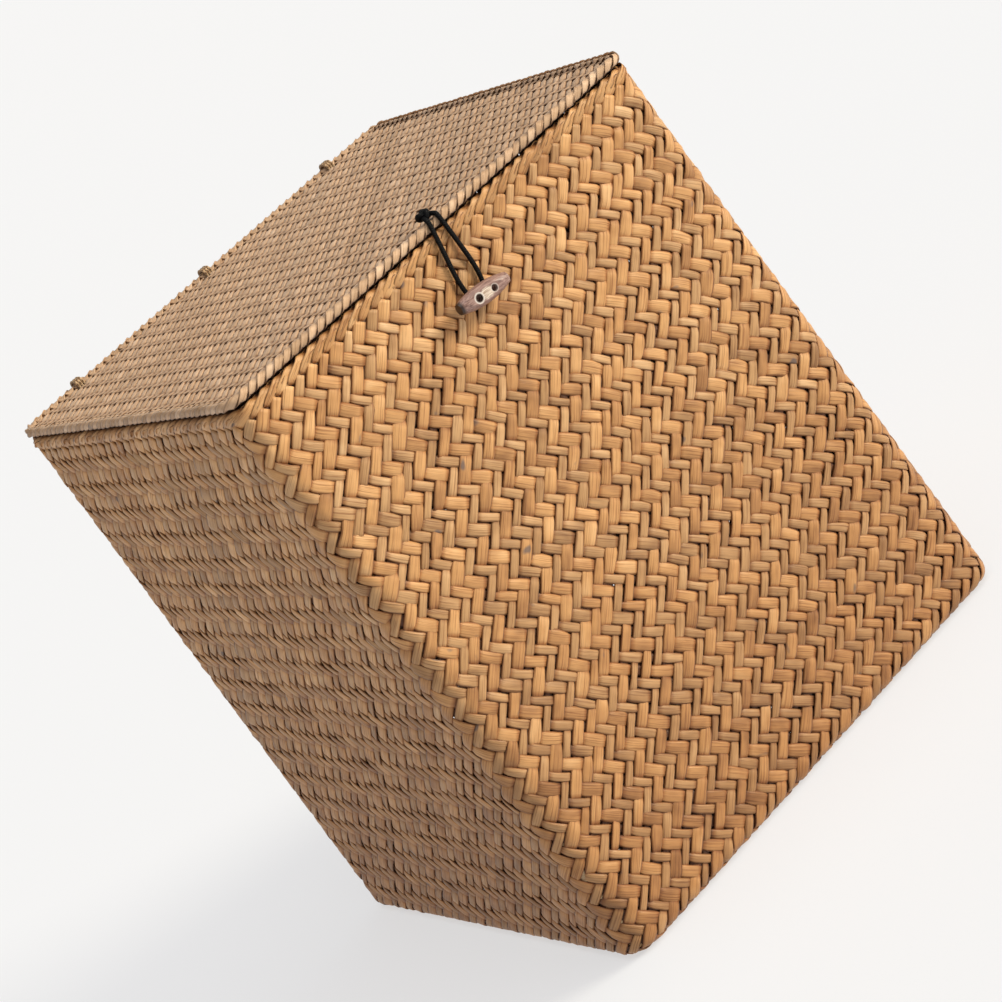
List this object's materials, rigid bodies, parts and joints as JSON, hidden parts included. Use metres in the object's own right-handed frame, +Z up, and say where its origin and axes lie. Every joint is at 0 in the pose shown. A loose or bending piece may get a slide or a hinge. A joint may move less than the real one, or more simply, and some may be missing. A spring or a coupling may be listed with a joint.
{
  "type": "woven laundry basket",
  "caption": "Upright square laundry basket plaited from flat rush strands on a cane frame, with a hinged woven lid closed by an elastic loop over a toggle.",
  "frame": {"origin": "middle of the underside, on the floor, under the middle of the rim", "axes": "+Z up, -Y towards the front with the toggle, +X to the right seen from the front"},
  "size_m": [0.424, 0.4112, 0.495],
  "materials": {
    "rush_wall": "dry plaited rush, satin highlights",
    "rush_lid": "dry fine plaited rush, matte",
    "cane": "peeled cane, satin",
    "twine": "twisted waxed twine",
    "elastic_cord": "braided covered elastic, matte",
    "toggle_wood": "smooth turned hardwood, worn pale on the flat"
  },
  "bodies": {
    "basket": {"woven_wall": "rush_wall", "woven_base": "rush_wall", "rim_fold": "rush_wall", "top_hoop": "cane", "base_hoop": "cane", "corner_post_front_left": "cane", "corner_post_front_right": "cane", "corner_post_back_left": "cane", "corner_post_back_right": "cane", "post_lashings": "twine", "hinge_tie_left": "twine", "hinge_tie_middle": "twine", "hinge_tie_right": "twine", "toggle_thread": "twine", "backing_button": "toggle_wood"},
    "lid": {"lid_panel": "rush_lid", "lid_binding": "rush_lid", "lid_hoop": "cane", "elastic_knot": "elastic_cord"},
    "elastic": {"elastic_loop": "elastic_cord"},
    "toggle": {"toggle": "toggle_wood"}
  },
  "joints": [
    {"name": "lid_hinge", "type": "hinge", "parent": "basket", "child": "lid", "pos_m": [0, 0.184, 0.485], "axis": [-1, 0, 0], "range_deg": [0, 180], "deforming": ["elastic_loop"]},
    {"name": "elastic_swing", "type": "hinge", "parent": "lid", "child": "elastic", "pos_m": [0.001, -0.184, 0.485], "axis": [-1, 0, 0], "range_deg": [0, 180], "deforming": ["elastic_loop"]},
    {"name": "toggle_swivel", "type": "hinge", "parent": "basket", "child": "toggle", "pos_m": [-0.008, -0.2013, 0.43], "axis": [0, -1, 0], "range_deg": [-90, 90]}
  ]
}
